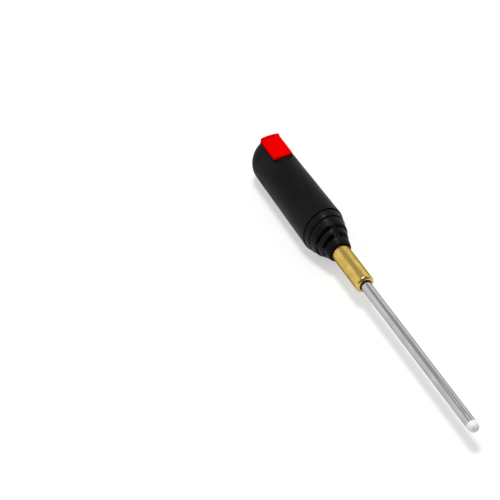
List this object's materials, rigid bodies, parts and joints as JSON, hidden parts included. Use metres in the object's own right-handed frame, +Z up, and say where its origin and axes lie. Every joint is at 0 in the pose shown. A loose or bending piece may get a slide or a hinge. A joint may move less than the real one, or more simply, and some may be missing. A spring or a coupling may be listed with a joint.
{
  "type": "pinpointer probe",
  "caption": "Hand-held metal detecting pinpointer: oval black barrel with a red thumb button, stepped nose, brass ferrule and a slim steel probe tube.",
  "frame": {"origin": "centre of the probe's footprint, on the flat belly it rests on", "axes": "+X along the probe towards its tip, +Z up through the thumb button, +Y to the left of someone looking along +X"},
  "size_m": [0.276, 0.029, 0.0356],
  "materials": {
    "shell_black": "satin moulded black plastic",
    "nose_black": "satin moulded black plastic",
    "inner_black": "plain black moulded plastic",
    "seal_rubber": "black nitrile rubber",
    "zinc_screw": "zinc plated",
    "dark_steel": "black oxide steel",
    "insert_brass": "plain turned brass",
    "ferrule_brass": "polished turned brass",
    "tube_steel": "drawn stainless steel",
    "tip_white": "white moulded plastic",
    "ferrite_grey": "sintered ferrite",
    "bobbin_cream": "cream moulded plastic",
    "coil_copper": "enamelled copper wire",
    "lead_red": "insulated wire",
    "button_red": "satin red moulded plastic",
    "spring_steel": "spring wire",
    "board_green": "solder mask over glass fibre board",
    "chip_black": "moulded chip package",
    "chip_tan": "ceramic chip parts",
    "can_silver": "drawn aluminium can",
    "trimmer_blue": "blue moulded plastic",
    "cell_sleeve": "plastic sleeve over the cell's can",
    "contact_nickel": "nickel plated strip"
  },
  "bodies": {
    "housing": {"upper_shell": "shell_black", "lower_shell": "shell_black", "rear_collar": "inner_black", "stepped_nose": "nose_black", "nose_screws": "zinc_screw", "ferrule_seal": "seal_rubber", "brass_ferrule": "ferrule_brass", "ferrule_bush": "inner_black", "probe_tube": "tube_steel", "tip_cap": "tip_white", "ferrite_rod": "ferrite_grey", "coil_bobbin": "bobbin_cream", "search_coil": "coil_copper", "coil_leads": "lead_red", "lead_socket": "bobbin_cream", "button_pedestal": "nose_black", "switch_body": "inner_black", "circuit_board": "board_green", "board_screws": "zinc_screw", "control_chip": "chip_black", "small_parts": "chip_tan", "capacitors": "can_silver", "trimmer_body": "trimmer_blue", "buzzer_case": "inner_black", "piezo_disc": "insert_brass", "motor_clip": "inner_black", "motor_case": "can_silver", "battery_cradle": "inner_black", "battery_cell": "cell_sleeve", "front_contact": "contact_nickel", "rear_contact": "contact_nickel", "button_spring": "spring_steel"},
    "button": {"thumb_button": "button_red"},
    "plunger": {"switch_plunger": "bobbin_cream"},
    "cap": {"rear_cap": "shell_black", "cap_seal": "seal_rubber", "battery_spring": "spring_steel"},
    "trimmer": {"trimmer_rotor": "bobbin_cream"},
    "motor_rotor": {"motor_shaft": "dark_steel", "motor_weight": "dark_steel"}
  },
  "joints": [
    {"name": "button_press", "type": "slide", "parent": "housing", "child": "button", "axis": [0, 0, -1], "range_m": [0, 0.0006], "stiffness_N_per_m": 700, "springref_m": -0.002, "deforming": ["button_spring"]},
    {"name": "plunger_press", "type": "slide", "parent": "housing", "child": "plunger", "axis": [0, 0, -1], "range_m": [0, 0.0006]},
    {"name": "cap_pull", "type": "slide", "parent": "housing", "child": "cap", "axis": [-1, 0, 0], "range_m": [0, 0.02]},
    {"name": "trimmer_turn", "type": "hinge", "parent": "housing", "child": "trimmer", "pos_m": [-0.0835, 0, 0.0255], "axis": [0, 0, 1], "range_deg": [-135, 135]},
    {"name": "motor_spin", "type": "hinge", "parent": "housing", "child": "motor_rotor", "pos_m": [-0.074, 0, 0.0076], "axis": [1, 0, 0], "continuous": true}
  ],
  "couplings": [
    {"joint": "plunger_press", "follows": "button_press", "ratio": 1}
  ]
}
